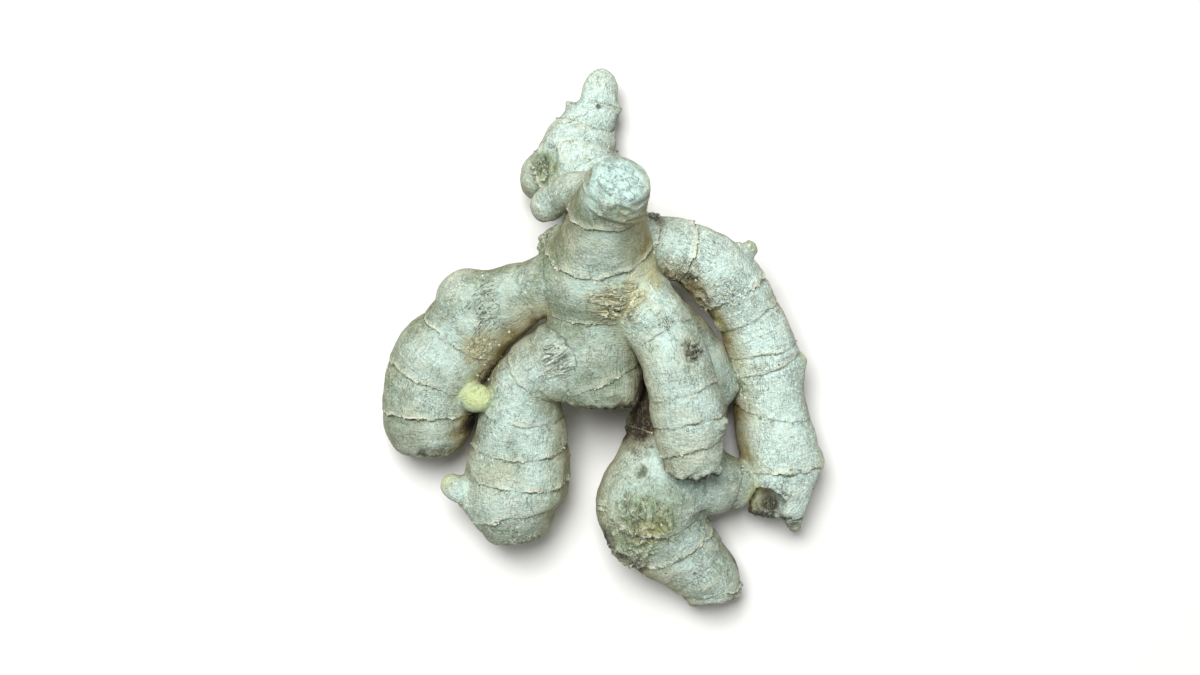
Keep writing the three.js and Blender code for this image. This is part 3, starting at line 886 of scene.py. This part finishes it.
def skinMaterial():
    material, n, surface, place, grain = newMaterial("gingerSkin")
    limbSpace = n.attribute("limbSpace", "Vector")
    crease, force = n.attribute("crease"), n.attribute("ringForce")
    along = n.stretch(limbSpace, (1.0, 1.0, 0.13))
    around = n.stretch(limbSpace, (0.16, 0.16, 1.0))
    whole = n.attribute("whole")
    strands, hoops = [n.plus(n.times(n.plus(made, -0.5), whole), 0.5) for made in
                      (n.noise(along, 2.0, 3, 0.65), n.noise(around, 1.5, 3, 0.65))]
    broad = n.noise(place, 62.0, 4, 0.6)

    chalky = n.plus(n.times(n.attribute("tone"), 0.34), n.times(broad, 1.3),
                    n.times(grain["Flecks"], 0.7), -0.55)
    colour = n.mix(chalky, finish["sage"], finish["chalk"])
    warmth = n.ramp(n.noise(place, 38.0, 3, 0.6), 0.5, 0.7, (0.0, 0.45))
    colour = n.mix(warmth, colour, finish["warm"])
    for level, low, high, least, most in (
            (grain["Mottle"], 0.3, 0.7, 0.86, 1.12), (grain["Flecks"], 0.35, 0.65, 0.86, 1.12),
            (grain["Grain"], 0.36, 0.64, 0.6, 1.3), (strands, 0.32, 0.68, 1.14, 0.8),
            (hoops, 0.3, 0.7, 0.92, 1.08)):
        colour = n.dim(colour, n.ramp(level, low, high, (least, most)))

    blotch = n.noise(place, 420.0, 4, 0.7)
    # Painted shade: sides that face away from up turn olive and brown.
    flank = n.times(n.attribute("flank"), n.ramp(broad, 0.35, 0.6, (0.6, 1.0)))
    colour = n.mix(flank, colour, n.mix(n.ramp(blotch, 0.3, 0.7), finish["olive"], finish["earth"]))
    soiled = n.times(n.attribute("soiled"), n.ramp(broad, 0.3, 0.6, (0.7, 1.15)))
    golden = n.mix(n.ramp(n.plus(soiled, n.times(blotch, 0.6)), 0.6, 1.2), finish["straw"],
                   finish["earth"])
    colour = n.mix(soiled, colour, golden)
    # Painted highlight: skin that faces up turns paler, towards chalk.
    dusted = n.times(n.attribute("dusted"), n.ramp(broad, 0.35, 0.6, (0.15, 0.68)))
    colour = n.mix(dusted, colour, finish["chalk"])
    for kind, deep, least, most in (("earth", "peat", 0.46, 0.92), ("moss", "olive", 0.4, 0.8)):
        amount = n.times(n.attribute(kind), n.ramp(blotch, 0.3, 0.6, (least, most)))
        tone = n.mix(n.ramp(n.noise(place, 300.0, 4, 0.7), 0.45, 0.75), finish[kind], finish[deep])
        colour = n.mix(amount, colour, tone)
    straw = n.times(n.attribute("straw"), n.ramp(blotch, 0.2, 0.5, (0.6, 1.0)))
    colour = n.mix(straw, colour, finish["straw"])
    # Painted shade darkens sunk places, and a painted highlight pales raised ones.
    colour = n.layers(colour, (crease, 0.65, "peat"), (n.attribute("crest"), 0.3, "paper"))
    # The darkest stain colour, also used for painted shade on the lower finger's neck and in the
    # right finger's hollow.
    soilAndShade = n.mix(n.ramp(blotch, 0.4, 0.7), finish["loam"], finish["peat"])
    colour = n.mix(n.times(n.attribute("peat"), n.ramp(blotch, 0.3, 0.6, (1.0, 1.4))), colour, soilAndShade)

    # This pale colour marks scars and also paints highlights on two finger roots.
    bare = n.attribute("bare")
    disc = n.ramp(bare, 0.6, 0.95)
    discLines = n.times(disc, n.lines(place, 190.0, 0.035, 3))
    smudges = n.times(disc, n.ramp(n.noise(place, 230.0, 4, 0.6), 0.54, 0.72))
    dark = n.ramp(blotch, 0.36, 0.52)
    colour = n.layers(colour, (n.attribute("fresh"), 0.9, "fresh"), (bare, 0.85, "bare"),
                      (smudges, 0.4, "slate"), (discLines, 0.5, "slate"),
                      (n.attribute("soot"), dark, "soot"))

    frayed = n.plus(n.attribute("ringGap"), n.times(n.noise(place, 900.0, 2), 0.7), -0.35)
    lip = n.times(n.ramp(frayed, -0.95, -0.3), n.ramp(frayed, 0.1, -0.02), force)
    # Painted shadow: a dark line just past each ring's pale lip.
    shadowUnderLip = n.times(n.ramp(frayed, -0.02, 0.12), n.ramp(frayed, 0.75, 0.3), force)
    colour = n.layers(colour, (lip, 0.95, "paper"), (shadowUnderLip, 0.6, "seam"))
    ledge = n.times(n.ramp(frayed, -2.4, -0.1), n.ramp(frayed, 0.14, -0.04), force)

    height = n.plus(grain["Height"], n.times(strands, -0.65), n.times(hoops, 0.6),
                    n.times(ledge, 0.5), n.times(lip, 0.12), n.times(shadowUnderLip, -0.15),
                    n.times(discLines, -0.4))
    for kind, stretch, scale, width, deep, pale in markLines:
        amount = n.attribute(kind)
        space = n.stretch(limbSpace, stretch)
        crest = n.times(amount, n.lines(space, scale, width, 3))
        # Painted shade: each mark's sunk lines are darkened.
        cut = n.times(amount, n.lines(n.stretch(space, (1.07, 0.93, 1.05)), scale, width * 0.7, 3))
        colour = n.layers(colour, (crest, 0.6, pale), (cut, 0.65, "seam"))
        height = n.plus(height, n.times(crest, deep), n.times(cut, -deep))
    short = n.stretch(limbSpace, (0.9, 0.9, 0.3))
    patches = n.ramp(n.noise(limbSpace, 0.22, 2), 0.46, 0.57)
    shown = n.times(patches, n.plus(0.6, n.attribute("slits")), whole)
    # Painted shade: the short nicks are darkened, with pale edges beside them.
    nicks = n.times(n.lines(short, 0.9, 0.022, 2), shown)
    beside = n.add("ShaderNodeVectorMath", {0: short, 1: (0.18, 0.18, 0.12)}, operation="ADD")
    edges = n.times(n.lines(beside.outputs[0], 0.9, 0.03, 2), shown)
    colour = n.layers(colour, (edges, 0.5, "paper"), (nicks, 0.85, "seam"),
                      (grain["Specks"], 0.7, "soot"))
    height = n.plus(height, n.times(edges, 0.2), n.times(nicks, -0.4))
    finishSurface(n, surface, colour, height, grain["Mottle"])
    return material


skinPiece.data.materials.append(skinMaterial())
print("skin finish made")


def flakeMaterial(name, pale, deep):
    material, n, surface, place, grain = newMaterial(name)
    colour = n.mix(n.ramp(n.noise(place, 240.0, 3), 0.4, 0.62), finish[pale], finish[deep])
    colour = n.dim(colour, n.ramp(grain["Grain"], 0.3, 0.7, (0.75, 1.12)))
    finishSurface(n, surface, colour, grain["Height"], grain["Mottle"])
    return material


def thinPlate(name, outline, curl, thickness):  # a closed curling scrap, in millimetres
    upper = [(x * mm, y * mm, (curl * y * y + thickness) * mm) for x, y in outline]
    lower = [(x * mm, y * mm, (curl * y * y - thickness) * mm) for x, y in outline]
    count = len(outline)
    faces = [tuple(range(count)), tuple(range(2 * count - 1, count - 1, -1))]
    faces += [(i, count + i, count + (i + 1) % count, (i + 1) % count) for i in range(count)]
    return meshObject(name, upper + lower, faces)


def taperedPeg(name, length, radius, sides=6):  # a closed stump that narrows and leans
    rows = [(0, 1.3), (0.35, 0.9), (0.8, 0.7), (1, 0.45)]
    points = [(radius * w * math.cos(2 * math.pi * j / sides) * mm + 0.15 * h * h * length * mm,
               radius * w * math.sin(2 * math.pi * j / sides) * mm, h * length * mm)
              for h, w in rows for j in range(sides)]
    faces = [tuple(range(sides - 1, -1, -1)), tuple(range(3 * sides, 4 * sides))]
    for i in range(len(rows) - 1):
        for j in range(sides):
            k = (j + 1) % sides
            faces.append((i * sides + j, i * sides + k, (i + 1) * sides + k, (i + 1) * sides + j))
    return meshObject(name, points, faces)


def scatterTree(name, onCurves):  # sets small copies along lines, or over a skin by a mask
    tree = bpy.data.node_groups.new(name, "GeometryNodeTree")
    numbers = ("Spacing", "Amount", "Smallest", "Largest", "Lowest Tilt", "Highest Tilt", "Turn")
    sockets = [("Geometry", "Geometry"), ("Scrap", "Object")]
    sockets += [(label, "Float") for label in numbers] + [("Seed", "Int"), ("Finish", "Material")]
    for label, kind in sockets:
        tree.interface.new_socket(label, in_out="INPUT", socket_type="NodeSocket" + kind)
    tree.interface.new_socket("Geometry", in_out="OUTPUT", socket_type="NodeSocketGeometry")
    n = Nodes(tree)
    given = n.add("NodeGroupInput").outputs

    def named(label, kind):
        made = n.add("GeometryNodeInputNamedAttribute", {"Name": label}, data_type=kind)
        return made.outputs["Attribute"]

    def between(low, high, seed):
        return n.add("FunctionNodeRandomValue", {2: low, 3: high, "Seed": seed},
                     data_type="FLOAT").outputs[1]

    if onCurves:
        lines = n.add("GeometryNodeMeshToCurve", {"Mesh": given["Geometry"]}).outputs[0]
        spread = n.add("GeometryNodeCurveToPoints", {"Curve": lines, "Length": given["Spacing"]},
                       mode="LENGTH")
        lift = n.add("FunctionNodeAlignRotationToVector",
                     {"Vector": named("outward", "FLOAT_VECTOR")}, axis="Z")
        facing = n.add("FunctionNodeAlignRotationToVector",
                       {"Rotation": lift.outputs[0], "Vector": named("onward", "FLOAT_VECTOR")},
                       axis="Y", pivot_axis="Z").outputs[0]
        size = named("force", "FLOAT")
    else:
        density = n.times(named("mask", "FLOAT"), given["Amount"])
        spread = n.add("GeometryNodeDistributePointsOnFaces",
                       {"Mesh": given["Geometry"], "Density": density, "Seed": given["Seed"]})
        facing = spread.outputs["Rotation"]
        size = 1.0
    tilt = between(given["Lowest Tilt"], given["Highest Tilt"], given["Seed"])
    turn = between(n.times(given["Turn"], -1.0), given["Turn"], 7)
    leaning = n.add("ShaderNodeCombineXYZ", {0: tilt}).outputs[0]
    turning = n.add("ShaderNodeCombineXYZ", {2: turn}).outputs[0]
    for angle in (turning, leaning):
        by = n.add("FunctionNodeEulerToRotation", {0: angle}).outputs[0]
        facing = n.add("FunctionNodeRotateRotation", {"Rotation": facing, "Rotate By": by},
                       rotation_space="LOCAL").outputs[0]
    reach = {axis: n.times(between(given["Smallest"], given["Largest"], 11 + axis), size)
             for axis in range(3)}
    scale = n.add("ShaderNodeCombineXYZ", reach).outputs[0]
    scrap = n.add("GeometryNodeObjectInfo", {"Object": given["Scrap"]}).outputs["Geometry"]
    placed = n.add("GeometryNodeInstanceOnPoints",
                   {"Points": spread.outputs["Points"], "Instance": scrap, "Rotation": facing,
                    "Scale": scale}).outputs[0]
    whole = n.add("GeometryNodeRealizeInstances", {"Geometry": placed}).outputs[0]
    painted = n.add("GeometryNodeSetMaterial", {"Geometry": whole, "Material": given["Finish"]})
    n.feed(n.add("NodeGroupOutput").inputs[0], painted.outputs[0])
    return tree


def scattered(obj, tree, values, **objects):  # the object replaced by what the tree sets on it
    modifier = obj.modifiers.new("scatter", "NODES")
    modifier.node_group = tree
    values = dict(values, **objects)
    for item in tree.interface.items_tree:
        words = item.name.split()
        label = words[0].lower() + "".join(words[1:])
        if item.in_out == "INPUT" and label in values:
            modifier[item.identifier] = values[label]
    return applied(obj)


def ringLines(obj):  # every leaf ring's edge as a line on the skin, with the way out and onwards
    mesh = obj.data
    mesh.calc_loop_triangles()
    corners = [tuple(t.vertices) for t in mesh.loop_triangles]
    tree = BVHTree.FromPolygons([v.co / mm for v in mesh.vertices], corners)
    points, edges, outs, ons, forces = [], [], [], [], []
    for index, limb in enumerate(limbs.values()):
        for ring in limb["rings"]:
            radius = np.interp(ring[0], limb["along"], limb["radius"])
            turns = np.linspace(0, 2 * np.pi, max(24, int(radius * 2 * np.pi / 0.5)))
            across, upward = radius * np.sin(turns), radius * np.cos(turns)
            places = ringEdgePlace(index, ring, across, upward) - 0.15
            frays = ringFray(index, ring, across, upward)
            before = False
            for turn, place, fray in zip(turns, places, frays):
                spot = np.array([[np.interp(place, limb["along"], limb[key][:, k])
                                  for k in range(3)] for key in ("middle", "top", "side", "aim")])
                way = unit(spot[1] * np.cos(turn) + spot[2] * np.sin(turn))
                start = Vector(spot[0] + way * (radius + 4))
                hit, normal, _, _ = tree.ray_cast(start, Vector(-way), 9)
                good = hit is not None and normal.dot(Vector(way)) > 0.4 and hit.z > 1
                if good and (start - hit).length > 1.5 and fray > 0.25:
                    points.append(np.array(hit))
                    outs.append(np.array(normal))
                    ons.append(spot[3])
                    forces.append(min(fray, 1.2))
                    if before:
                        edges.append((len(points) - 2, len(points) - 1))
                    before = True
                else:
                    before = False
    lines = meshObject("ring_fringes", np.array(points) * mm, [], edges)
    addAttribute(lines.data, "outward", np.array(outs), "FLOAT_VECTOR")
    addAttribute(lines.data, "onward", np.array(ons), "FLOAT_VECTOR")
    addAttribute(lines.data, "force", forces)
    print("ring edges found,", len(points), "points")
    return lines


def skinCopy(obj, name, mask):  # the skin again, with one of its masks to scatter by
    mesh = obj.data.copy()
    values = np.empty(len(mesh.vertices), np.float32)
    mesh.attributes[mask].data.foreach_get("value", values)
    addAttribute(mesh, "mask", values)
    return newObject(name, mesh)


paperScraps = flakeMaterial("frayedSkin", "paper", "sage")
rootBark = flakeMaterial("rootBark", "earth", "peat")
scrapOutline = [(-0.6, -0.3), (0.6, -0.3), (0.65, 0.2), (0.3, 0.55), (0.05, 0.4), (-0.25, 0.6),
                (-0.6, 0.25)]
scrap = thinPlate("scrap", scrapOutline, curl=0.5, thickness=0.05)
peg = taperedPeg("peg", length=1.6, radius=0.55)

# How densely each kind of scrap lies, between which sizes, how it tilts and turns, and its seed.
fringe = dict(spacing=0.9 * mm, smallest=0.15, largest=1.25, lowestTilt=-0.15, highestTilt=0.5,
              turn=0.5, seed=3)
fringes = scattered(ringLines(skinPiece), scatterTree("alongRings", True), fringe, scrap=scrap,
                    finish=paperScraps)

overSkin = scatterTree("overSkin", False)
flake = dict(amount=0.9e6, smallest=0.3, largest=1.1, lowestTilt=-0.1, highestTilt=0.6,
             turn=math.pi, seed=5)
flakes = scattered(skinCopy(skinPiece, "skin_flakes", "flaking"), overSkin, flake, scrap=scrap,
                   finish=paperScraps)

stub = dict(amount=4e3, smallest=0.4, largest=0.9, lowestTilt=-0.4, highestTilt=0.4,
            turn=math.pi, seed=9)
stubs = scattered(skinCopy(skinPiece, "root_stubs", "stubby"), overSkin, stub, scrap=peg,
                  finish=rootBark)

for model in (scrap, peg):
    bpy.data.objects.remove(model)
extras = [fringes, flakes, stubs]
for extra in extras:
    print(extra.name, "has", len(extra.data.polygons), "faces")

# The table, the light and the view.
table = dict(size=3.0, colour=shade(232, 232, 230), roughness=0.9)
floor = meshObject("table", [(x * table["size"] / 2, y * table["size"] / 2, 0)
                             for x, y in ((-1, -1), (1, -1), (1, 1), (-1, 1))], [(0, 1, 2, 3)])
floorMaterial = bpy.data.materials.new("paleTable")
floorMaterial.use_nodes = True
floorSurface = floorMaterial.node_tree.nodes["Principled BSDF"]
floorSurface.inputs["Base Color"].default_value = table["colour"]
floorSurface.inputs["Roughness"].default_value = table["roughness"]
floor.data.materials.append(floorMaterial)

lamps = [
    dict(name="overhead", place=(-0.18, 0.4, 1.1), size=0.6, power=18.9),
    dict(name="frontFill", place=(0.5, -0.7, 0.7), size=0.9, power=1.5),
]
for lamp in lamps:
    data = bpy.data.lights.new(lamp["name"], "AREA")
    data.shape = "SQUARE"
    data.size = lamp["size"]
    data.energy = lamp["power"]
    light = newObject(lamp["name"], data)
    light.location = lamp["place"]
    light.rotation_euler = (-Vector(lamp["place"])).to_track_quat("-Z", "Y").to_euler()

room = dict(colour=(1, 1, 1, 1), strength=0.2)
world = bpy.data.worlds.new("softRoom")
world.use_nodes = True
background = world.node_tree.nodes["Background"].inputs
background["Color"].default_value = room["colour"]
background["Strength"].default_value = room["strength"]
bpy.context.scene.world = world
bpy.context.scene.view_settings.view_transform = "Standard"

view = dict(height=0.6, across=0.396, offset=(-1.03, -0.08))  # metres, and millimetres sideways
lens = bpy.data.cameras.new("view")
lens.sensor_width = 36
lens.lens = 36 * view["height"] / view["across"]
camera = newObject("view", lens)
camera.location = (view["offset"][0] * mm, view["offset"][1] * mm, view["height"])
bpy.context.scene.camera = camera

for piece in [skinPiece] + extras:
    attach(piece, "root")
    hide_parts(rootNode)
